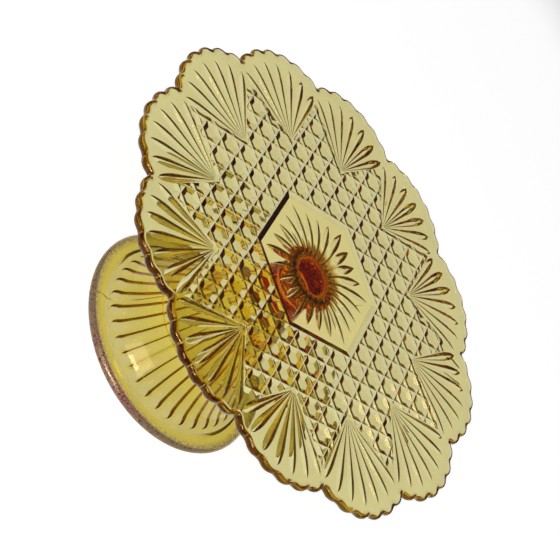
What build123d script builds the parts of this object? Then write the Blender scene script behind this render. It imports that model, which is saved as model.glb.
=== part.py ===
"""Amber pressed-glass footed cake salver.

Three pieces of glass stacked on one axis: a scalloped plate with its pattern
pressed into the underside, a fused joint wafer, and a pedestal whose hollow is fluted.
Millimetres, +Z up, origin at the centre of the foot's resting plane.
"""

import os
from math import atan2, cos, degrees, pi, radians, sin, sqrt

from build123d import *

# ---------------------------------------------------------------- overall
HEIGHT = 96.0                   # resting plane to the plate's top face
NOTCH_R = 106.0                 # axis to each deep notch between two lobes

# ---------------------------------------------------------------- plate rim
LOBES = 12
SCALLOPS = 6                    # small scallops along each lobe
LOBE_CENTRE_R = 0.713 * NOTCH_R
SCALLOP_DEPTH = 1.2             # crown to valley
RIM_THICK = 3.4
RIM_BEVEL = 3.0                 # how far in the underside's bevel reaches
RIM_SOFTEN = 1.2

# ---------------------------------------------------------------- plate body
PLATE_THICK = 5.0

# ------------------------------------------------- lattice of hexagon buttons
GROOVE_STEP = 10.13             # spacing inside each of the three families
GROOVE_DEPTH = 1.5
GROOVE_HALF = 2.5               # half width of a groove's mouth
LATTICE_TIP_R = 96.5            # lattice points that reach between the fans
LATTICE_NOTCH_R = 66.7          # lattice corners behind the fans

# ---------------------------------------------------------------- centre panel
PANEL_HALF = 3.5 * GROOVE_STEP  # flat to flat, halved
PANEL_BEVEL = 3.0
PANEL_PROUD = 0.7               # panel face below the button tops

# ---------------------------------------------------------------- fans
FAN_APEX_R = 6.727 * GROOVE_STEP
PETALS = 6
PETAL_SWING = 13.4              # degrees between valleys, seen from the apex
PETAL_INSET = 5.5               # valley ends to the lobe's edge
VALLEY_HALF = 2.25
VALLEY_DEPTH = 1.25
VALLEY_WIDEST = 0.72            # share of its length from the apex

# ---------------------------------------------------------------- sunburst
RAYS = 24
RAY_TIP_HALF = 0.28 * NOTCH_R   # ray tips lie on a hexagon, flat to flat halved
RAY_BORE = 2.6
RAY_DEPTH = 1.0

# ---------------------------------------------------------------- boss and wafer
NECK_R = 8.8
BOSS_FILLET = 12.0
WAFER_R = 11.6
WAFER_THICK = 2.4
WAFER_BULGE = 0.6

# ---------------------------------------------------------------- pedestal
# profile points are (radius, height)
STEM_TOP_R = 11.6
BELL = ((20.7, 50.5), (31.8, 26.0), (38.0, 13.4), (42.6, 6.9))
CREASE = (47.0, 4.2)
BEAD_CROWN = (50.9, 5.25)
FOOT_R = 56.2
BEAD_MID_Z = 2.4
REST_OUTER_R = 53.4
REST_INNER_R = 49.6

# ---------------------------------------------------------------- foot hollow
HOLLOW_STEP = (46.6, 1.6)       # top of the step inside the resting ring
HOLLOW_LIP = (43.8, 1.9)
HOLLOW_WALL = ((39.2, 3.6), (33.2, 10.7), (25.6, 24.0), (15.6, 47.0))
HOLLOW_TOP = 60.0
FLUTES = 32                     # round channels up the hollow's wall
FLUTE_BORE = 5.2
FLUTE_DEPTHS = (1.2, 1.1, 0.8, 0.1)     # at each point of the wall, from the foot up


def polar(radius, angle):
    """Point in the XY plane, angle in degrees."""
    return (radius * cos(radians(angle)), radius * sin(radians(angle)))


def hexagon(half, z):
    """Hexagon face with flats square to +Y, half its width flat to flat."""
    corners = [polar(half / cos(pi / 6), 60 * k) for k in range(6)]
    return Pos(0, 0, z) * make_face(Polyline(*corners, close=True))


def around(piece, count, start=0.0):
    """Copies of one piece spaced evenly about the axis."""
    return [Rot(0, 0, start + 360 * k / count) * piece for k in range(count)]


# ---------------------------------------------------------------- plate
def lobe_geometry():
    """Radius of a lobe's circle and the half angle it spans, in degrees."""
    half = pi / LOBES
    across = NOTCH_R * sin(half)
    along = NOTCH_R * cos(half) - LOBE_CENTRE_R
    return sqrt(across ** 2 + along ** 2), degrees(atan2(across, along))


def lobe_point(lobe, swing, radius):
    """Point on a lobe, at an angle from the lobe's own middle line."""
    middle = (lobe + 0.5) * 360 / LOBES
    cx, cy = polar(LOBE_CENTRE_R, middle)
    dx, dy = polar(radius, middle + swing)
    return (cx + dx, cy + dy)


def rim_outline():
    """Closed face of the scalloped outline."""
    lobe_r, span = lobe_geometry()
    valley = lobe_r - SCALLOP_DEPTH / 2
    crown = lobe_r + SCALLOP_DEPTH / 2
    step = 2 * span / SCALLOPS
    edges = []
    for lobe in range(LOBES):
        for n in range(SCALLOPS):
            start = -span + n * step
            edges.append(ThreePointArc(
                lobe_point(lobe, start, valley),
                lobe_point(lobe, start + step / 2, crown),
                lobe_point(lobe, start + step, valley),
            ))
        edges.append(Line(lobe_point(lobe, span, valley), lobe_point(lobe + 1, -span, valley)))
    return make_face(edges)


def plate_blank():
    """Scalloped disc, its underside bevelled up to the thinner rim."""
    blank = Pos(0, 0, HEIGHT - PLATE_THICK) * extrude(rim_outline(), PLATE_THICK)
    underside = blank.faces().sort_by(Axis.Z)[0]
    blank = chamfer(underside.edges(), RIM_BEVEL, PLATE_THICK - RIM_THICK, reference=underside)
    top_edges = blank.faces().sort_by(Axis.Z)[-1].edges()
    return chamfer(top_edges, RIM_SOFTEN)


def canoe(length, half_width, depth, widest):
    """V-shaped valley along +X, pointed at both ends, keel up, mouth at z = 0."""
    stern = (0, 0, 0)
    bow = (length, 0, 0)
    left = (widest * length, half_width, 0)
    right = (widest * length, -half_width, 0)
    keel = (widest * length, 0, depth)
    rings = [
        (stern, right, bow, left),
        (stern, left, keel),
        (stern, keel, right),
        (bow, keel, left),
        (bow, right, keel),
    ]
    return Solid(Shell([Face(Wire.make_polygon(ring, close=True)) for ring in rings]))


def fan_valleys():
    """Valleys between and beside the petals of all the fans."""
    lobe_r, _ = lobe_geometry()
    valleys = []
    for n in range(PETALS + 1):
        swing = (n - PETALS / 2) * PETAL_SWING
        # distance from the apex to the lobe's circle, less the inset
        gap = FAN_APEX_R - LOBE_CENTRE_R
        reach = lobe_r - PETAL_INSET
        along = -gap * cos(radians(swing))
        length = along + sqrt(reach ** 2 - (gap * sin(radians(swing))) ** 2)
        valley = canoe(length, VALLEY_HALF, VALLEY_DEPTH, VALLEY_WIDEST)
        valleys += around(Pos(FAN_APEX_R, 0, 0) * Rot(0, 0, swing) * valley, LOBES, 180 / LOBES)
    return [Pos(0, 0, HEIGHT - PLATE_THICK) * valley for valley in valleys]


def groove_family():
    """Parallel V-grooves of one family, running along X."""
    low = HEIGHT - PLATE_THICK
    over = 0.3                  # the cutter stands this far out of the glass
    mouth = GROOVE_HALF * (GROOVE_DEPTH + over) / GROOVE_DEPTH
    section = make_face(Polyline(
        (-mouth, low - over),
        (mouth, low - over),
        (0, low + GROOVE_DEPTH),
        close=True,
    ))
    groove = extrude(Plane.YZ * section, NOTCH_R, both=True)
    count = int(LATTICE_TIP_R / GROOVE_STEP)
    return Compound([Pos(0, (n + 0.5) * GROOVE_STEP, 0) * groove for n in range(-count, count)])


def star_zone():
    """Prism over the lattice: a star of twelve points less the centre hexagon."""
    corners = []
    for k in range(LOBES):
        corners.append(polar(LATTICE_TIP_R, 360 * k / LOBES))
        corners.append(polar(LATTICE_NOTCH_R, 360 * (k + 0.5) / LOBES))
    low = HEIGHT - PLATE_THICK - 1
    star = Pos(0, 0, low) * extrude(make_face(Polyline(*corners, close=True)), 3)
    return star - extrude(hexagon(PANEL_HALF, low), 3)


def centre_panel():
    """Raised hexagon with a bevelled border, and the boss under its middle."""
    low = HEIGHT - PLATE_THICK
    face_z = low - PANEL_PROUD
    frustum = loft([hexagon(PANEL_HALF - PANEL_BEVEL, face_z), hexagon(PANEL_HALF, low + GROOVE_DEPTH)])
    flare_r = NECK_R + BOSS_FILLET
    neck_z = face_z - BOSS_FILLET
    half = BOSS_FILLET * cos(pi / 4)
    profile = make_face([
        Line((0, face_z + 1), (flare_r, face_z + 1)),
        Line((flare_r, face_z + 1), (flare_r, face_z)),
        ThreePointArc((flare_r, face_z), (flare_r - half, neck_z + half), (NECK_R, neck_z)),
        Line((NECK_R, neck_z), (0, neck_z)),
        Line((0, neck_z), (0, face_z + 1)),
    ])
    return frustum + revolve(Plane.XZ * profile, Axis.Z)


def sunburst():
    """Round-bottomed rays that run from the panel down the boss to its neck."""
    panel_z = HEIGHT - PLATE_THICK - PANEL_PROUD
    axis_x = NECK_R + BOSS_FILLET
    axis_z = panel_z - BOSS_FILLET
    path_r = BOSS_FILLET - RAY_BORE + RAY_DEPTH
    bend = revolve(
        Pos(axis_x - path_r, 0, axis_z) * Circle(RAY_BORE),
        Axis((axis_x, 0, axis_z), (0, 1, 0)),
        revolution_arc=90,
    )
    rays = around(bend, RAYS)
    for angle in range(0, 60, 360 // RAYS):
        tip = RAY_TIP_HALF / cos(radians(abs(angle - 30)))
        start = Vector(axis_x - 0.2, 0, axis_z + path_r)
        run_out = Vector(tip, 0, axis_z + path_r - RAY_DEPTH) - start
        bore = extrude(Plane(origin=start, z_dir=run_out) * Circle(RAY_BORE), run_out.length + 1)
        rays += around(bore, 6, angle)
    return rays


def make_plate():
    """The whole plate, pattern underneath."""
    low = HEIGHT - PLATE_THICK
    pocket = extrude(hexagon(PANEL_HALF, low - 1), 1 + GROOVE_DEPTH)
    plate = plate_blank() - pocket - fan_valleys()
    zone = star_zone()
    for angle in (0, 60, 120):
        plate -= (Rot(0, 0, angle) * groove_family()) & zone
    panel = centre_panel()
    for ray in sunburst():
        panel -= ray
    return plate + panel


# ---------------------------------------------------------------- wafer
def wafer_levels():
    """Upper and lower faces of the joint wafer."""
    top = HEIGHT - PLATE_THICK - PANEL_PROUD - BOSS_FILLET
    return top, top - WAFER_THICK


def make_wafer():
    """Disc of glass that was fused between boss and stem, edge bulged."""
    top, bottom = wafer_levels()
    profile = make_face([
        Line((0, top), (WAFER_R, top)),
        ThreePointArc((WAFER_R, top), (WAFER_R + WAFER_BULGE, (top + bottom) / 2), (WAFER_R, bottom)),
        Line((WAFER_R, bottom), (0, bottom)),
        Line((0, bottom), (0, top)),
    ])
    return revolve(Plane.XZ * profile, Axis.Z)


# ---------------------------------------------------------------- pedestal
def pedestal_body():
    """Flared stem and foot with a rounded rim and a flat resting ring."""
    top = wafer_levels()[1]
    stem_top = (STEM_TOP_R, top)
    bead_mid = (FOOT_R, BEAD_MID_Z)
    profile = make_face([
        Line((0, top), stem_top),
        Spline(stem_top, *BELL, CREASE),
        ThreePointArc(CREASE, (48.8, 4.85), BEAD_CROWN),
        ThreePointArc(BEAD_CROWN, (54.7, 4.45), bead_mid),
        ThreePointArc(bead_mid, (55.3, 0.7), (REST_OUTER_R, 0)),
        Line((REST_OUTER_R, 0), (0, 0)),
        Line((0, 0), (0, top)),
    ])
    return revolve(Plane.XZ * profile, Axis.Z)


def foot_hollow():
    """Dome under the foot, following the outside at the wall thickness."""
    shoulder = HOLLOW_WALL[-1]
    profile = make_face([
        Line((0, 0), (REST_INNER_R, 0)),
        Line((REST_INNER_R, 0), HOLLOW_STEP),
        Line(HOLLOW_STEP, HOLLOW_LIP),
        Spline(HOLLOW_LIP, *HOLLOW_WALL),
        TangentArc((0, HOLLOW_TOP), shoulder, tangent=(1, 0)),
        Line((0, HOLLOW_TOP), (0, 0)),
    ])
    return revolve(Plane.XZ * profile, Axis.Z)


def pedestal_flutes():
    """Round flutes up the hollow's wall, fading out at its shoulder."""
    wall = (HOLLOW_LIP, *HOLLOW_WALL)
    stations = []
    for k, depth in enumerate(FLUTE_DEPTHS, 1):
        back, ahead = wall[k - 1], wall[min(k + 1, len(wall) - 1)]
        along = Vector(ahead[0] - back[0], ahead[1] - back[1]).normalized()
        # the bore's centre line runs inside the hollow, sunk into the wall by the depth
        into_glass = Vector(along.Y, -along.X)
        stations.append(Vector(*wall[k]) - into_glass * (FLUTE_BORE - depth))
    run_out = stations[0] + (stations[0] - stations[1]).normalized() * 6
    path = Plane.XZ * Spline(run_out, *stations)
    bore = Plane(origin=path @ 0, z_dir=path % 0) * Circle(FLUTE_BORE)
    return around(sweep(bore, path=path), FLUTES, 180 / FLUTES)


def make_pedestal():
    """Stem and foot pressed as one hollow piece, smooth outside and fluted inside."""
    pedestal = pedestal_body() - foot_hollow()
    for flute in pedestal_flutes():
        pedestal -= flute
    return pedestal


def main():
    """Write one STEP file for each piece of glass."""
    os.makedirs("parts", exist_ok=True)
    export_step(make_plate(), "parts/plate.step")
    export_step(make_wafer(), "parts/joint_wafer.step")
    export_step(make_pedestal(), "parts/pedestal.step")


main()
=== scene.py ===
"""Looks of the amber pressed-glass cake salver: plate, joint wafer and pedestal.

Each CAD node is replaced by one piece of glass with its moulded relief. Shapes are worked
out in millimetres, and become metres in finish_mesh.
"""
import math

import bmesh
import bpy
import numpy as np
from mathutils import Matrix, Vector


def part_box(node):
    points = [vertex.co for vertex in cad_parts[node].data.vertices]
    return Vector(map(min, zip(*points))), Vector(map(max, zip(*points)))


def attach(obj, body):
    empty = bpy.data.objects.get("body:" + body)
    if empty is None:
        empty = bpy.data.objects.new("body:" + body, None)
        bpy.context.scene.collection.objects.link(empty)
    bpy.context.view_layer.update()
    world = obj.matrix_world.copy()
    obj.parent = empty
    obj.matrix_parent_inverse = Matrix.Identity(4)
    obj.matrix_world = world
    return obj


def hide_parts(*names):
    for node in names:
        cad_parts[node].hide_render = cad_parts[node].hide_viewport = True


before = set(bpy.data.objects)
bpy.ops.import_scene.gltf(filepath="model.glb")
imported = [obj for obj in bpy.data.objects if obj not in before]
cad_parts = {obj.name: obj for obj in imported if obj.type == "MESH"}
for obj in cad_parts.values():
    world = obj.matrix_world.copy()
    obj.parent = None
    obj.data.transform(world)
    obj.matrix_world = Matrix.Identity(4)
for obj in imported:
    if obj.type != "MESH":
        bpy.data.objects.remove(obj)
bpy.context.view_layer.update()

MM = 0.001

# ---------------------------------------------------------------- levels from the frame
PLATE_LOW, PLATE_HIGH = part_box("plate")
FOOT_LOW, FOOT_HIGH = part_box("pedestal")
TOP_Z = PLATE_HIGH.z / MM
NECK_Z = PLATE_LOW.z / MM
STEM_Z = FOOT_HIGH.z / MM
FOOT_R = (FOOT_HIGH.x - FOOT_LOW.x) / 2 / MM
NOTCH_SHARE = 0.9489            # a deep notch's radius, as a share of the plate's half width
NOTCH_R = NOTCH_SHARE * (PLATE_HIGH.x - PLATE_LOW.x) / 2 / MM
FUSED = 0.05                    # neighbours reach this far into each other
SPIKE = 0.02                    # half width left at a pointed end, as a share or in mm
LEVEL_Z = 0.99999               # upright part of a level face's normal

# ---------------------------------------------------------------- plate
LOBES = 12
SCALLOPS = 6
LOBE_CENTRE_R = 0.713 * NOTCH_R
SCALLOP_HALF = 0.6              # crown or valley from the lobe's mean line
SCALLOP_STEPS = 10
SCALLOP_PINCH = 1.35            # above 1, the valleys are narrower than the crowns
PLATE_THICK = 5.0
UNDER_Z = TOP_Z - PLATE_THICK
RIM_SECTION = (                 # inset from the outline and height above the underside
    (1.9, 5.0), (1.35, 4.93), (0.85, 4.71), (0.42, 4.32), (0.13, 3.78), (0.0, 3.15),
    (0.03, 2.6), (0.2, 1.95), (0.55, 1.3), (1.1, 0.7), (1.9, 0.25), (3.2, 0.0),
)

# ---------------------------------------------------------------- lattice
GROOVE_STEP = 10.13
GROOVE_DEPTH = 1.5
GROOVE_HALF = 2.5
GROOVE_FLOOR = 0.22             # half width of a groove's bottom
LATTICE_TIP_R = 96.5
LATTICE_NOTCH_R = 66.7          # its corners behind the fans, clear of their valleys

# ---------------------------------------------------------------- centre panel
PANEL_HALF = 3.5 * GROOVE_STEP
PANEL_BEVEL = 3.0
PANEL_PROUD = 0.7
PANEL_Z = UNDER_Z - PANEL_PROUD

# ---------------------------------------------------------------- fans
FAN_APEX_R = 6.727 * GROOVE_STEP
PETALS = 6
PETAL_SWING = 13.4
PETAL_INSET = 5.5
VALLEY_HALF = 2.25
VALLEY_DEPTH = 1.25
VALLEY_START = 1.6              # clear of the apex, so that neighbours don't meet
VALLEY_WIDEST = 0.72            # share of its length from the apex
VALLEY_TIP = 0.05               # share of its width at the apex
VALLEY_OPENING = 1.28           # share of its width gained over its length
VALLEY_STATIONS = 18
KEEL = 1.3                      # 1 is a sharp V across the valley, 2 is a round one
KEEL_STEPS = 6

# ---------------------------------------------------------------- sunburst
RAYS = 24
RAY_TIP_HALF = 0.28 * NOTCH_R
RAY_HALF = 2.25
RAY_NECK_HALF = 0.95
RAY_DEPTH = 1.25
RAY_BUD = 0.3                   # share of its length in which a ray reaches full width
RAY_SWELL = 0.8                 # below 1, its tip is blunter
RAY_TAPER = 0.35                # share of its length from which it narrows to the neck
RAY_PAST_NECK = 0.6
RAY_LEAN = 1.05                 # how much wider the cutter is where it stands out of the glass
RAY_STATIONS = 30
NECK_R = 8.8
BOSS_FILLET = PANEL_Z - NECK_Z
BOSS_STEPS = 14
ROUND_SEGMENTS = 144

# ---------------------------------------------------------------- wafer
STEM_TOP_R = 11.6
WAFER_BULGE = 0.6
WAFER_FACE_R = 0.6 * STEM_TOP_R
WAFER_SHOULDER = 0.6            # where its rounded edge starts, in from the stem's top
WAFER_STEPS = 12

# ---------------------------------------------------------------- pedestal
BELL = ((20.7, 50.5), (31.8, 26.0), (38.0, 13.4), (42.6, 6.9))
BELL_STEPS = 13                 # between two points of the bell's curve
MOULD_LINE = 2                  # which point of the bell's curve carries the ring
MOULD_HALF = 0.4
MOULD_PROUD = 0.4
CREASE = (47.0, 4.2)
BEAD_RISE = (48.8, 4.85)
BEAD_CROWN = (50.9, 5.25)
BEAD_FALL = (54.7, 4.45)
BEAD_MID = (FOOT_R, 2.4)
BEAD_UNDER = (55.3, 0.7)
REST_OUTER_R = 53.4
REST_INNER_R = 49.6
HOLLOW_STEP = (46.6, 1.6)
UNDERSIDE = (                   # from the resting ring, over the step, towards the lip
    (REST_INNER_R, 0.0), (REST_INNER_R - 0.4, 0.08),
    (HOLLOW_STEP[0] + 0.4, HOLLOW_STEP[1] - 0.12), HOLLOW_STEP, (45.2, 1.75),
)
HOLLOW = ((43.8, 1.9), (39.2, 3.6), (33.2, 10.7), (25.6, 24.0), (15.6, 47.0))
HOLLOW_STEPS = 16               # between two points of the hollow's curve
HOLLOW_TOP = 60.0
DOME_STEPS = 12
FLUTES = 32
FLUTE_STEPS = 12
FLUTE_START = 0.05              # width where the lip ends, as a share of the pitch
FLUTE_FULL = 0.97               # width above its rounded end
FLUTE_SLOPE = 0.95              # of a flute's side at its edge
FLUTE_ARCH = 5.0                # length of its rounded end
FLUTE_FADE = 12.0               # length over which it dies away at the top
SEAM_HALF = 0.28
SEAM_PROUD = 0.25
SEAM_FADE_Z = 2.4               # below this the seam dies away towards the resting ring
SEAMS = (5, 21)                 # lands that lie on the mould's joints

# ---------------------------------------------------------------- glass
# losses of red, green and blue in each metre of glass, the two surface tints that the bloom
# mixes, and the scale of the waves and their height in metres
PLATE_GLASS = {
    "losses": (20, 42, 160),
    "tints": ((0.83, 0.86, 0.79, 1), (0.70, 0.71, 0.63, 1)),
    "wave_scale": 18.0,
    "wave_height": 0.0004,
}
WAFER_GLASS = {
    "losses": (0, 60, 300),
    "tints": ((1.0, 1.0, 1.0, 1), (0.98, 0.97, 0.95, 1)),
    "wave_scale": 60.0,
    "wave_height": 0.0002,
}
PEDESTAL_GLASS = {
    "losses": (3, 34, 340),
    "tints": ((0.69, 0.665, 0.69, 1), (0.565, 0.545, 0.55, 1)),
    "wave_scale": 25.0,
    "wave_height": 0.0004,
}
GLASS_IOR = 1.52
REFLECTION_TINT = (0.6, 0.42, 0.22, 1)      # keeps pale reflections from greying the amber
BLOOM_SCALE = 60.0
BLOOM_RANGE = (0.35, 0.75)      # noise of clear glass, and noise of full bloom
BLOOM_ROUGHNESS = 0.05
# painted light and shade going down the boss: where each painted tint starts, where it is full, and
# its colour
BOSS_PAINTED_LIGHT_AND_SHADE = (
    (PANEL_Z + 0.25, PANEL_Z + 0.05, (1.0, 0.98, 0.86, 1)),
    (PANEL_Z - 0.4, PANEL_Z - 2.0, (0.34, 0.16, 0.05, 1)),
    (NECK_Z + 0.6, NECK_Z + 0.1, (1.0, 0.88, 0.4, 1)),
)
WEAR_FROM_R = 51.5              # wear starts here and is full at the next radius
WEAR_FULL_R = 55.0
WEAR_GRAIN = 1100.0
WEAR_SPECKS = (0.36, 0.62)      # noise that leaves bare glass, and noise of a full speck
WEAR_ROUGHNESS = 0.22
WEAR_CLEARNESS = 0.15           # transmission left in a full speck
WEAR_TINT = (0.29, 0.18, 0.05, 1)
# painted light: the stem's glass is painted brighter, so the core glows brighter
STEM_GLOW_R = (19.0, 34.0)     # surface tint gone inside the first, full outside the second
STEM_GLOW_TINT = (1, 1, 1, 1)


# ---------------------------------------------------------------- points and meshes
def polar(radius, angle):
    """Point in the XY plane, angle in degrees."""
    turn = math.radians(angle)
    return np.array((radius * math.cos(turn), radius * math.sin(turn)))


def hexagon(half):
    """Corners of a hexagon with flats square to +Y."""
    return [polar(half / math.cos(math.pi / 6), 60 * k) for k in range(6)]


def new_object(name, vertices, faces):
    """Mesh object with its normals pointing out."""
    mesh = bpy.data.meshes.new(name)
    mesh.from_pydata([tuple(float(c) for c in v) for v in vertices], [], faces)
    work = bmesh.new()
    work.from_mesh(mesh)
    bmesh.ops.recalc_face_normals(work, faces=work.faces)
    work.to_mesh(mesh)
    work.free()
    obj = bpy.data.objects.new(name, mesh)
    bpy.context.scene.collection.objects.link(obj)
    return obj


def tube(rings):
    """Vertices and faces of a closed skin over rings of points, each with the same count."""
    count = len(rings[0])
    vertices = [p for ring in rings for p in ring]
    faces = []
    for row in range(len(rings) - 1):
        for k in range(count):
            a = row * count + k
            b = row * count + (k + 1) % count
            faces.append((a, b, b + count, a + count))
    faces.append(tuple(range(count)))
    faces.append(tuple(range((len(rings) - 1) * count, len(rings) * count)))
    return vertices, faces


def joined(parts):
    """One vertex and face list from several."""
    vertices, faces = [], []
    for part_vertices, part_faces in parts:
        base = len(vertices)
        vertices += list(part_vertices)
        faces += [tuple(base + i for i in face) for face in part_faces]
    return vertices, faces


def turned(part, angle):
    """A copy of vertices and faces turned about the axis, in degrees."""
    c, s = math.cos(math.radians(angle)), math.sin(math.radians(angle))
    vertices = [(x * c - y * s, x * s + y * c, z) for x, y, z in part[0]]
    return vertices, part[1]


def prism(corners, low, high):
    """Upright prism on a polygon."""
    return tube([[(x, y, z) for x, y in corners] for z in (low, high)])


def round_rings(profile):
    """Rings of points about the axis, one for each radius and height of a profile."""
    turns = [360 * k / ROUND_SEGMENTS for k in range(ROUND_SEGMENTS)]
    return [[(*polar(r, turn), z) for turn in turns] for r, z in profile]


def combine(target, tool, operation):
    """Boolean of two closed meshes, kept in target."""
    step = target.modifiers.new("combine", "BOOLEAN")
    step.operation = operation
    step.solver = "MANIFOLD"
    step.object = tool
    bpy.context.view_layer.update()
    shaped = target.evaluated_get(bpy.context.evaluated_depsgraph_get())
    mesh = bpy.data.meshes.new_from_object(shaped)
    target.modifiers.clear()
    target.data = mesh
    bpy.data.objects.remove(tool)


def finish_mesh(obj, sharp_angle):
    """Cut large faces into triangles, shade smooth with creases, and scale to metres."""
    work = bmesh.new()
    work.from_mesh(obj.data)
    large = [f for f in work.faces if len(f.verts) > 4]
    bmesh.ops.triangulate(work, faces=large, ngon_method="EAR_CLIP")
    bmesh.ops.recalc_face_normals(work, faces=work.faces)
    for face in work.faces:
        face.smooth = True
    for edge in work.edges:
        if len(edge.link_faces) != 2:
            continue
        # level faces keep a crease against anything that slopes
        level = [abs(f.normal.z) > LEVEL_Z for f in edge.link_faces]
        bend = edge.calc_face_angle(0.0)
        edge.smooth = level[0] == level[1] and bend < math.radians(sharp_angle)
    work.to_mesh(obj.data)
    work.free()
    obj.data.transform(Matrix.Scale(MM, 4))


# ---------------------------------------------------------------- plate
def lobe_circle():
    """Radius of a lobe's circle, and the angle from its middle to a deep notch in degrees."""
    half = math.pi / LOBES
    across = NOTCH_R * math.sin(half)
    along = NOTCH_R * math.cos(half) - LOBE_CENTRE_R
    return math.hypot(across, along), math.degrees(math.atan2(across, along))


def rim_outline():
    """Points around the scalloped outline, and the inward direction at each."""
    lobe_r, span = lobe_circle()
    points = []
    for lobe in range(LOBES):
        middle = (lobe + 0.5) * 360 / LOBES
        centre = polar(LOBE_CENTRE_R, middle)
        total = SCALLOPS * SCALLOP_STEPS
        for k in range(total + 1):
            swing = -span + 2 * span * k / total
            valley = ((1 + math.cos(2 * math.pi * k / SCALLOP_STEPS)) / 2) ** SCALLOP_PINCH
            wave = SCALLOP_HALF * (1 - 2 * valley)
            points.append(centre + polar(lobe_r + wave, middle + swing))
    points = np.array(points)
    ahead = np.roll(points, -1, 0) - np.roll(points, 1, 0)
    inward = np.stack((-ahead[:, 1], ahead[:, 0]), 1)
    inward /= np.linalg.norm(inward, axis=1)[:, None]
    return points, inward


def plate_blank():
    """Scalloped disc with a rounded rim."""
    points, inward = rim_outline()
    rings = []
    for inset, height in RIM_SECTION:
        ring = points + inward * inset
        rings.append([(x, y, UNDER_Z + height) for x, y in ring])
    return new_object("plate_glass", *tube(rings))


def groove_family(angle):
    """Parallel grooves of one family."""
    over = 0.4                  # the cutter stands this far out of the glass
    mouth = GROOVE_HALF + (GROOVE_HALF - GROOVE_FLOOR) * over / GROOVE_DEPTH
    section = (
        (-mouth, UNDER_Z - over), (mouth, UNDER_Z - over),
        (GROOVE_FLOOR, UNDER_Z + GROOVE_DEPTH), (-GROOVE_FLOOR, UNDER_Z + GROOVE_DEPTH),
    )
    count = int(LATTICE_TIP_R / GROOVE_STEP)
    grooves = []
    for n in range(-count, count):
        y0 = (n + 0.5) * GROOVE_STEP
        rings = [[(x, y0 + y, z) for y, z in section] for x in (-NOTCH_R, NOTCH_R)]
        grooves.append(turned(tube(rings), angle))
    return new_object("grooves", *joined(grooves))


def star_zone():
    """Prism over the lattice's star, through the underside, without the centre hexagon."""
    corners = []
    for k in range(LOBES):
        corners.append(polar(LATTICE_TIP_R, 360 * k / LOBES))
        corners.append(polar(LATTICE_NOTCH_R, 360 * (k + 0.5) / LOBES))
    zone = new_object("zone", *prism(corners, UNDER_Z - 1, UNDER_Z + 2))
    hole = new_object("hole", *prism(hexagon(PANEL_HALF), UNDER_Z - 2, UNDER_Z + 3))
    combine(zone, hole, "DIFFERENCE")
    return zone


def valley_section(half, depth):
    """Across a valley, from one lip to the other: offset and depth, rounded at the keel."""
    shape = []
    for k in range(2 * KEEL_STEPS + 1):
        u = k / KEEL_STEPS - 1
        shape.append((half * u, depth * (1 - abs(u) ** KEEL)))
    return shape


def valley_width(t):
    """Share of a fan valley's full width, at a share of its length from the apex."""
    tail = max(0.0, t - VALLEY_WIDEST) / (1 - VALLEY_WIDEST)
    blunt = math.sqrt(max(0.0, 1 - tail ** 2))
    return max(SPIKE, min(VALLEY_TIP + VALLEY_OPENING * t, 1.0, blunt))


def fan_valley(swing, length):
    """One leaf-shaped valley from the apex, swung from the fan's middle line."""
    over = 0.3                  # the cutter stands this far out of the glass
    rings = []
    for k in range(VALLEY_STATIONS + 1):
        t = k / VALLEY_STATIONS
        x = VALLEY_START + (length - VALLEY_START) * t
        width = valley_width(t)
        half, depth = VALLEY_HALF * width, VALLEY_DEPTH * width
        ring = [(x, y, UNDER_Z + z) for y, z in valley_section(half, depth)]
        ring += [(x, y, UNDER_Z - over) for y in (half, -half)]
        rings.append(ring)
    vertices, faces = turned(tube(rings), swing)
    return [(x + FAN_APEX_R, y, z) for x, y, z in vertices], faces


def fan_valleys():
    """Valleys between and beside the petals of all the fans."""
    lobe_r, _ = lobe_circle()
    gap = FAN_APEX_R - LOBE_CENTRE_R
    reach = lobe_r - PETAL_INSET
    valleys = []
    for n in range(PETALS + 1):
        swing = (n - PETALS / 2) * PETAL_SWING
        # from the apex to the lobe's circle, less the inset
        along = -gap * math.cos(math.radians(swing))
        length = along + math.sqrt(reach ** 2 - (gap * math.sin(math.radians(swing))) ** 2)
        valley = fan_valley(swing, length)
        valleys += [turned(valley, 360 * (k + 0.5) / LOBES) for k in range(LOBES)]
    return new_object("valleys", *joined(valleys))


def centre_panel():
    """Raised hexagon with bevelled sides, to weld into the pocket."""
    rise = PANEL_PROUD + GROOVE_DEPTH
    slope = PANEL_BEVEL / rise
    deep = rise + 0.6           # reaches this far past the pocket's floor
    clear = 0.02                # of the pocket's sides
    rings = []
    for depth in (0.0, deep):
        half = PANEL_HALF - PANEL_BEVEL + slope * depth - clear
        rings.append([(x, y, PANEL_Z + depth) for x, y in hexagon(half)])
    return new_object("panel", *tube(rings))


def boss():
    """Neck with its flare, to weld under the panel."""
    flare_r = NECK_R + BOSS_FILLET
    # its root stands in the panel's glass
    profile = [(flare_r + 1.0, PANEL_Z + 1.0), (flare_r, PANEL_Z + 0.002)]
    for k in range(1, BOSS_STEPS + 1):
        turn = math.pi / 2 * k / BOSS_STEPS
        profile.append((
            NECK_R + BOSS_FILLET * (1 - math.sin(turn)),
            NECK_Z + BOSS_FILLET * math.cos(turn),
        ))
    profile.append((NECK_R, NECK_Z - FUSED))
    return new_object("boss", *tube(round_rings(profile)))


def ray_route(tip, s):
    """Point on the glass and outward direction, a distance along a ray from its tip."""
    flare_r = NECK_R + BOSS_FILLET
    run = tip - flare_r
    if s <= run:
        return np.array((tip - s, PANEL_Z)), np.array((0.0, -1.0))
    turn = min((s - run) / BOSS_FILLET, math.pi / 2)
    past = s - run - BOSS_FILLET * turn
    point = np.array((
        flare_r - BOSS_FILLET * math.sin(turn),
        NECK_Z + BOSS_FILLET * math.cos(turn) - past,
    ))
    return point, np.array((math.sin(turn), -math.cos(turn)))


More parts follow.
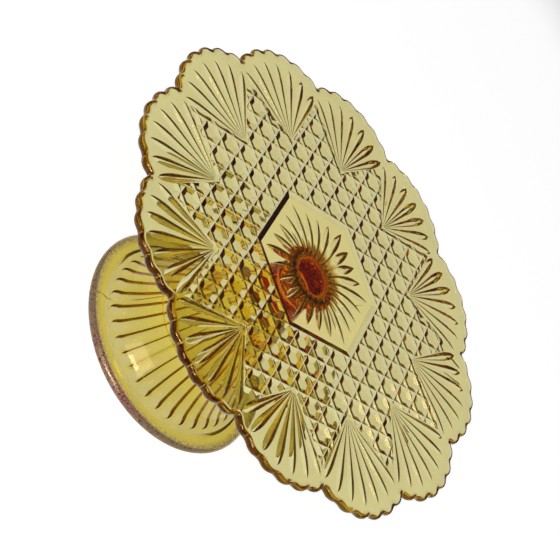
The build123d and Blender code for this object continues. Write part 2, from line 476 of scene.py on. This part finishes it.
def ray(tip):
    """One ray, from its tip on the panel down the flare and past the neck."""
    over = 0.3                  # the cutter stands this far out of the glass
    total = tip - NECK_R - BOSS_FILLET + BOSS_FILLET * math.pi / 2 + RAY_PAST_NECK
    rings = []
    for k in range(RAY_STATIONS + 1):
        t = k / RAY_STATIONS
        point, out = ray_route(tip, total * t)
        grow = math.sin(math.pi / 2 * min(1.0, t / RAY_BUD)) ** RAY_SWELL
        settle = max(0.0, (t - RAY_TAPER) / (1 - RAY_TAPER))
        half = max(SPIKE, RAY_HALF * grow + (RAY_NECK_HALF - RAY_HALF) * settle)
        ring = []
        for y, depth in valley_section(half, RAY_DEPTH * half / RAY_HALF):
            r, z = point - out * depth
            ring.append((r, y, z))
        for y in (half, -half):
            r, z = point + out * over
            ring.append((r, y * RAY_LEAN, z))
        rings.append(ring)
    return tube(rings)


def sunburst():
    """Rays all round, their tips on a hexagon."""
    rays = []
    for number in range(RAYS):
        angle = 360 * number / RAYS
        tip = RAY_TIP_HALF / math.cos(math.radians((angle % 60) - 30))
        rays.append(turned(ray(tip), angle))
    return new_object("rays", *joined(rays))


def make_plate():
    """The whole plate, pattern underneath."""
    plate = plate_blank()
    zone = star_zone()
    for angle in (0, 60, 120):
        grooves = groove_family(angle)
        copy = bpy.data.objects.new("zone_copy", zone.data)
        bpy.context.scene.collection.objects.link(copy)
        combine(grooves, copy, "INTERSECT")
        combine(plate, grooves, "DIFFERENCE")
    bpy.data.objects.remove(zone)
    combine(plate, fan_valleys(), "DIFFERENCE")
    floor_z = UNDER_Z + GROOVE_DEPTH + 0.03     # just clear of the grooves' bottoms
    pocket = new_object("pocket", *prism(hexagon(PANEL_HALF), UNDER_Z - 1, floor_z))
    combine(plate, pocket, "DIFFERENCE")
    combine(plate, centre_panel(), "UNION")
    combine(plate, boss(), "UNION")
    combine(plate, sunburst(), "DIFFERENCE")
    finish_mesh(plate, sharp_angle=24)
    return plate


# ---------------------------------------------------------------- wafer
def make_wafer():
    """Disc of glass fused between the plate's neck and the stem."""
    top, low = NECK_Z + FUSED, STEM_Z - FUSED
    profile = [(WAFER_FACE_R, top)]
    for k in range(WAFER_STEPS + 1):
        turn = math.pi * k / WAFER_STEPS
        radius = STEM_TOP_R - WAFER_SHOULDER + (WAFER_BULGE + WAFER_SHOULDER) * math.sin(turn)
        profile.append((radius, (top + low) / 2 + (top - low) / 2 * math.cos(turn)))
    profile.append((WAFER_FACE_R, low))
    wafer = new_object("joint_wafer_glass", *tube(round_rings(profile)))
    finish_mesh(wafer, sharp_angle=40)
    return wafer


# ---------------------------------------------------------------- pedestal
def arc(start, through, end, steps):
    """Points on the circle through three points, without the first."""
    (ax, ay), (bx, by), (cx, cy) = start, through, end
    d = 2 * (ax * (by - cy) + bx * (cy - ay) + cx * (ay - by))
    sa, sb, sc = ax * ax + ay * ay, bx * bx + by * by, cx * cx + cy * cy
    centre = np.array((
        (sa * (by - cy) + sb * (cy - ay) + sc * (ay - by)) / d,
        (sa * (cx - bx) + sb * (ax - cx) + sc * (bx - ax)) / d,
    ))
    angles = [math.atan2(p[1] - centre[1], p[0] - centre[0]) for p in (start, through, end)]
    for k in (1, 2):
        while angles[k] - angles[k - 1] > math.pi:
            angles[k] -= 2 * math.pi
        while angles[k] - angles[k - 1] < -math.pi:
            angles[k] += 2 * math.pi
    radius = math.hypot(ax - centre[0], ay - centre[1])
    out = []
    for k in range(1, steps + 1):
        a = angles[0] + (angles[2] - angles[0]) * k / steps
        out.append((centre[0] + radius * math.cos(a), centre[1] + radius * math.sin(a)))
    return out


def smooth_curve(points, steps):
    """Smooth curve through points, with this many steps between each two."""
    points = [np.array(p, float) for p in points]
    gaps = [np.linalg.norm(q - p) for p, q in zip(points, points[1:])]
    chords = [(q - p) / gap for p, q, gap in zip(points, points[1:], gaps)]
    slopes = [chords[0]]
    for k in range(1, len(chords)):
        share = gaps[k - 1] / (gaps[k - 1] + gaps[k])
        slopes.append((1 - share) * chords[k - 1] + share * chords[k])
    slopes.append(chords[-1])
    out = [tuple(points[0])]
    for k, gap in enumerate(gaps):
        for n in range(1, steps + 1):
            t = n / steps
            start, end = 2 * t ** 3 - 3 * t ** 2 + 1, 3 * t ** 2 - 2 * t ** 3
            leave, arrive = t ** 3 - 2 * t ** 2 + t, t ** 3 - t ** 2
            curve = start * points[k] + end * points[k + 1]
            out.append(tuple(curve + gap * (leave * slopes[k] + arrive * slopes[k + 1])))
    return out


def side_on(profile, i):
    """Direction square to a profile at one of its points, pointing away from the axis."""
    ahead, back = profile[min(len(profile) - 1, i + 1)], profile[max(0, i - 1)]
    along = np.array(ahead) - np.array(back)
    across = np.array((abs(along[1]), -along[0] * math.copysign(1, along[1])))
    return across / np.linalg.norm(across)


def flute_shares(width, seam):
    """Columns across one flute's pitch, from -1 to 1: land, seam edge, flute and land again."""
    half_land = (1 + width) / 2
    shares = [-1, -1 + seam, -half_land]
    shares += [-width + 2 * width * k / FLUTE_STEPS for k in range(FLUTE_STEPS + 1)]
    return shares + [half_land, 1 - seam]


def pedestal_ring(radius, z, out=(0, 0), width=0.5, sink=0.0, seam=0.05, proud=0.0):
    """Points all the way round at one station, sunk into each flute and raised at the seams.

    Where the wall is plain, width and seam only space the points.
    """
    points = []
    for flute in range(FLUTES):
        centre = 360 * (flute + 0.5) / FLUTES
        for share in flute_shares(width, seam):
            offset = sink * max(0.0, 1 - (share / width) ** 2)
            if share == -1 and flute in SEAMS:
                offset += proud
            where = centre + share * 180 / FLUTES
            points.append((*polar(radius + out[0] * offset, where), z + out[1] * offset))
    return points


def outer_profile():
    """Radius, height and how proud, from the stem's top to the resting ring."""
    curve = smooth_curve(((STEM_TOP_R, STEM_Z + FUSED), *BELL, CREASE), BELL_STEPS)
    line = MOULD_LINE * BELL_STEPS
    at = np.array(curve[line])
    along = np.array(curve[line + 1]) - at
    along /= np.linalg.norm(along)
    above, below = at - MOULD_HALF * along, at + MOULD_HALF * along
    stations = [(*p, 0.0) for p in curve[:line]]
    stations += [(*above, 0.0), (*at, MOULD_PROUD), (*below, 0.0)]
    stations += [(*p, 0.0) for p in curve[line + 1:]]
    bead = arc(CREASE, BEAD_RISE, BEAD_CROWN, steps=6)
    bead += arc(BEAD_CROWN, BEAD_FALL, BEAD_MID, steps=10)
    bead += arc(BEAD_MID, BEAD_UNDER, (REST_OUTER_R, 0.0), steps=8)
    return stations + [(*p, 0.0) for p in bead]


def outside_rings():
    """Smooth outside with its mould ring and seams, down to the resting ring."""
    profile = outer_profile()
    curve = [p[:2] for p in profile]
    rings = []
    for i, (radius, z, ring_proud) in enumerate(profile):
        out = side_on(curve, i)
        seam = SEAM_HALF / (math.pi * radius / FLUTES)
        seam_proud = SEAM_PROUD * min(1.0, z / SEAM_FADE_Z)
        place_r, place_z = radius + out[0] * ring_proud, z + out[1] * ring_proud
        rings.append(pedestal_ring(place_r, place_z, out, seam=seam, proud=seam_proud))
    return rings


def hollow_rings():
    """Fluted wall of the hollow from the lip up, and the smooth dome that closes it."""
    hollow = smooth_curve(HOLLOW, HOLLOW_STEPS)
    lengths = np.cumsum([0] + [math.dist(p, q) for p, q in zip(hollow, hollow[1:])])
    rings = []
    for i, (radius, z) in enumerate(hollow):
        start = min(1.0, lengths[i] / FLUTE_ARCH)
        fade = min(1.0, (lengths[-1] - lengths[i]) / FLUTE_FADE)
        grow = math.sqrt(max(0.0, 1 - (1 - start) ** 2))
        width = FLUTE_START + (FLUTE_FULL - FLUTE_START) * grow
        sink = 0.5 * FLUTE_SLOPE * math.pi * radius / FLUTES * width * grow * fade
        rings.append(pedestal_ring(radius, z, side_on(hollow, i), width, sink, (1 - width) / 4))
    radius, z = hollow[-1]
    edge = (1 - FLUTE_FULL) / 4
    for k in range(1, DOME_STEPS):
        turn = math.pi / 2 * k / DOME_STEPS
        height = z + (HOLLOW_TOP - z) * math.sin(turn)
        rings.append(pedestal_ring(radius * math.cos(turn), height, width=FLUTE_FULL, seam=edge))
    return rings


def make_pedestal():
    """Stem and foot: smooth outside, fluted inside the hollow."""
    underside = [pedestal_ring(radius, z) for radius, z in UNDERSIDE]
    rings = outside_rings() + underside + hollow_rings()
    pedestal = new_object("pedestal_glass", *tube(rings))
    finish_mesh(pedestal, sharp_angle=28)
    return pedestal


# ---------------------------------------------------------------- materials
def linked_node(tree, kind, settings, links, **traits):
    """Shader node of a kind, with its traits and input values set and its inputs linked."""
    node = tree.nodes.new(kind)
    for name, value in traits.items():
        setattr(node, name, value)
    for name, value in settings.items():
        node.inputs[name].default_value = value
    for name, source in links.items():
        tree.links.new(source, node.inputs[name])
    return node


def mixed_colour(tree, settings, links):
    """Output of a node that mixes two colours."""
    return linked_node(tree, "ShaderNodeMix", settings, links, data_type="RGBA").outputs["Result"]


def ramp(tree, value, start, end, low=0.0, high=1.0, **traits):
    """Output that goes from low to high as a value goes from start to end."""
    settings = {"From Min": start, "From Max": end, "To Min": low, "To Max": high}
    node = linked_node(tree, "ShaderNodeMapRange", settings, {"Value": value}, **traits)
    return node.outputs["Result"]


def noise(tree, where, scale, detail):
    """Output of a noise texture."""
    settings = {"Scale": scale, "Detail": detail}
    return linked_node(tree, "ShaderNodeTexNoise", settings, {"Vector": where}).outputs["Fac"]


def object_place(tree):
    """Output that gives each point's place on its object, in metres."""
    return tree.nodes.new("ShaderNodeTexCoord").outputs["Object"]


def distance(tree, where):
    """Output that gives how far a place is from the object's origin."""
    return linked_node(
        tree, "ShaderNodeVectorMath", {}, {0: where}, operation="LENGTH").outputs["Value"]


def amber_glass(name, losses, tints, wave_scale, wave_height):
    """Clear amber glass: colour from its thickness, faint waves and bloom on the surface."""
    material = bpy.data.materials.new(name)
    material.use_nodes = True
    tree = material.node_tree
    shader = tree.nodes["Principled BSDF"]
    shader.inputs["Transmission Weight"].default_value = 1.0
    shader.inputs["IOR"].default_value = GLASS_IOR
    shader.inputs["Specular Tint"].default_value = REFLECTION_TINT
    most = max(losses)
    absorb = tree.nodes.new("ShaderNodeVolumeAbsorption")
    absorb.inputs["Color"].default_value = (*(1 - loss / most for loss in losses), 1)
    absorb.inputs["Density"].default_value = most
    tree.links.new(absorb.outputs["Volume"], tree.nodes["Material Output"].inputs["Volume"])

    where = object_place(tree)
    waves = noise(tree, where, wave_scale, 2.0)
    bump = linked_node(
        tree, "ShaderNodeBump", {"Strength": 1.0, "Distance": wave_height}, {"Height": waves})
    tree.links.new(bump.outputs["Normal"], shader.inputs["Normal"])

    bloom = noise(tree, where, BLOOM_SCALE, 4.0)
    rough = ramp(tree, bloom, *BLOOM_RANGE, 0.0, BLOOM_ROUGHNESS)
    tree.links.new(rough, shader.inputs["Roughness"])
    tint = mixed_colour(tree, {"A": tints[0], "B": tints[1]}, {"Factor": bloom})
    tree.links.new(tint, shader.inputs["Base Color"])
    return material


def paint_boss_light_and_shade(material):
    """Painted light and shade: a painted brighter panel face, painted brown shade down the boss,
    and a painted bright glow again at the neck.
    """
    tree = material.node_tree
    shader = tree.nodes["Principled BSDF"]
    split = linked_node(tree, "ShaderNodeSeparateXYZ", {}, {"Vector": object_place(tree)})
    colour = shader.inputs["Base Color"].links[0].from_socket
    # each step lays painted light or painted shade over the glass's own tint
    for start, full, tint in BOSS_PAINTED_LIGHT_AND_SHADE:
        reached = ramp(tree, split.outputs["Z"], start * MM, full * MM)
        colour = mixed_colour(tree, {"B": tint}, {"Factor": reached, "A": colour})
    tree.links.new(colour, shader.inputs["Base Color"])
    return material


def worn_foot_and_painted_stem_glow(material):
    """Speckled wear along the foot's edge, and painted light: brighter glass up the stem for the
    core's glow.
    """
    tree = material.node_tree
    shader = tree.nodes["Principled BSDF"]
    where = object_place(tree)
    flat = linked_node(
        tree, "ShaderNodeVectorMath", {1: (1.0, 1.0, 0.0)}, {0: where}, operation="MULTIPLY")
    radius = distance(tree, flat.outputs["Vector"])
    edge = ramp(tree, radius, WEAR_FROM_R * MM, WEAR_FULL_R * MM)
    speck = ramp(tree, noise(tree, where, WEAR_GRAIN, 3.0), *WEAR_SPECKS)
    product = linked_node(tree, "ShaderNodeMath", {}, {0: edge, 1: speck}, operation="MULTIPLY")
    worn = product.outputs["Value"]

    rough = shader.inputs["Roughness"].links[0].from_socket
    rougher = linked_node(
        tree, "ShaderNodeMix", {"B": WEAR_ROUGHNESS}, {"Factor": worn, "A": rough})
    tree.links.new(rougher.outputs["Result"], shader.inputs["Roughness"])
    clear = ramp(tree, worn, 0.0, 1.0, 1.0, WEAR_CLEARNESS)
    tree.links.new(clear, shader.inputs["Transmission Weight"])

    # painted light: the surface tint is lifted from the stem's glass to brighten the core's glow
    inner, outer = STEM_GLOW_R
    stem = ramp(tree, radius, inner * MM, outer * MM, 1.0, 0.0)
    colour = shader.inputs["Base Color"].links[0].from_socket
    for factor, tint in ((worn, WEAR_TINT), (stem, STEM_GLOW_TINT)):
        colour = mixed_colour(tree, {"B": tint}, {"Factor": factor, "A": colour})
    tree.links.new(colour, shader.inputs["Base Color"])
    return material


def place(obj, node, material):
    """Stand a piece in for its CAD node."""
    obj.data.materials.clear()
    obj.data.materials.append(material)
    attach(obj, "root")
    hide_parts(node)


# ---------------------------------------------------------------- surroundings, in metres
CAMERA_AT = Vector((0.1008, -0.6081, 0.5037))
CAMERA_AIM = Vector((0.0006, -0.0329, 0.0960))
CAMERA_ROLL = math.radians(64.10)
CAMERA_LENS = 105.31
FLOOR_HALF = 6.0
FLOOR_GAP = 0.0002              # below the foot, so that their faces don't coincide
FLOOR_SHADE = (0.45, 0.45, 0.45, 1)
FLOOR_GLOW = 0.84
GLOW_FULL_R = 0.56
GLOW_END_R = 0.80
ROOM_GLOW = 0.13
LIGHT_AIM = Vector((0, 0, 0.06))
KEY_AT = (0.20, -1.25, 1.10)
KEY_SIZE = 0.5
KEY_POWER = 15
SHINE_AT = (0.15, -1.30, 1.05)
SHINE_SIZE = 1.1
SHINE_POWER = 24


def camera():
    """Long lens looking down on the object, with the camera rolled over."""
    data = bpy.data.cameras.new("camera")
    data.lens = CAMERA_LENS
    data.sensor_width = 36
    data.clip_start = 0.01
    data.clip_end = 50
    obj = bpy.data.objects.new("camera", data)
    bpy.context.scene.collection.objects.link(obj)
    forward = (CAMERA_AIM - CAMERA_AT).normalized()
    level = forward.to_track_quat("-Z", "Y").to_matrix()
    turn = Matrix.Rotation(CAMERA_ROLL, 3, "Z")
    obj.matrix_world = Matrix.Translation(CAMERA_AT) @ (level @ turn).to_4x4()
    bpy.context.scene.camera = obj


def glowing_floor():
    """Material that is bright as a light table around the object and matt further out."""
    material = bpy.data.materials.new("floor")
    material.use_nodes = True
    tree = material.node_tree
    tree.nodes.remove(tree.nodes["Principled BSDF"])
    glow = ramp(
        tree, distance(tree, object_place(tree)), GLOW_FULL_R, GLOW_END_R, FLOOR_GLOW, 0.0,
        interpolation_type="SMOOTHSTEP")
    matt = linked_node(tree, "ShaderNodeBsdfDiffuse", {"Color": FLOOR_SHADE}, {})
    light = linked_node(tree, "ShaderNodeEmission", {}, {"Strength": glow})
    both = linked_node(
        tree, "ShaderNodeAddShader", {}, {0: matt.outputs["BSDF"], 1: light.outputs["Emission"]})
    tree.links.new(both.outputs["Shader"], tree.nodes["Material Output"].inputs["Surface"])
    return material


def floor():
    """Pale floor under the foot."""
    mesh = bpy.data.meshes.new("floor")
    corners = [(x * FLOOR_HALF, y * FLOOR_HALF, 0) for x, y in ((-1, -1), (1, -1), (1, 1), (-1, 1))]
    mesh.from_pydata(corners, [], [(0, 1, 2, 3)])
    mesh.materials.append(glowing_floor())
    obj = bpy.data.objects.new("floor", mesh)
    bpy.context.scene.collection.objects.link(obj)
    obj.location.z = FOOT_LOW.z - FLOOR_GAP


def soft_light(name, at, size, power):
    """Square soft box aimed at the object."""
    data = bpy.data.lights.new(name, "AREA")
    data.size = size
    data.energy = power
    obj = bpy.data.objects.new(name, data)
    bpy.context.scene.collection.objects.link(obj)
    obj.location = at
    obj.rotation_euler = (LIGHT_AIM - Vector(at)).to_track_quat("-Z", "Y").to_euler()
    return obj


def surroundings():
    """Camera, floor, dim room and soft boxes."""
    scene = bpy.context.scene
    camera()
    floor()
    world = bpy.data.worlds.new("room")
    scene.world = world
    world.use_nodes = True
    background = world.node_tree.nodes["Background"]
    background.inputs["Color"].default_value = (1, 1, 1, 1)
    background.inputs["Strength"].default_value = ROOM_GLOW
    soft_light("key", KEY_AT, KEY_SIZE, KEY_POWER)
    shine = soft_light("shine", SHINE_AT, SHINE_SIZE, SHINE_POWER)
    # seen in reflections alone
    shine.visible_diffuse = False
    shine.visible_transmission = False
    scene.view_settings.view_transform = "Standard"
    scene.cycles.max_bounces = 32
    scene.cycles.glossy_bounces = 24
    scene.cycles.transmission_bounces = 32
    scene.cycles.caustics_reflective = False


place(make_plate(), "plate", paint_boss_light_and_shade(amber_glass("plate_glass", **PLATE_GLASS)))
place(make_wafer(), "joint_wafer", amber_glass("wafer_glass", **WAFER_GLASS))
place(
    make_pedestal(), "pedestal",
    worn_foot_and_painted_stem_glow(amber_glass("pedestal_glass", **PEDESTAL_GLASS)))
surroundings()
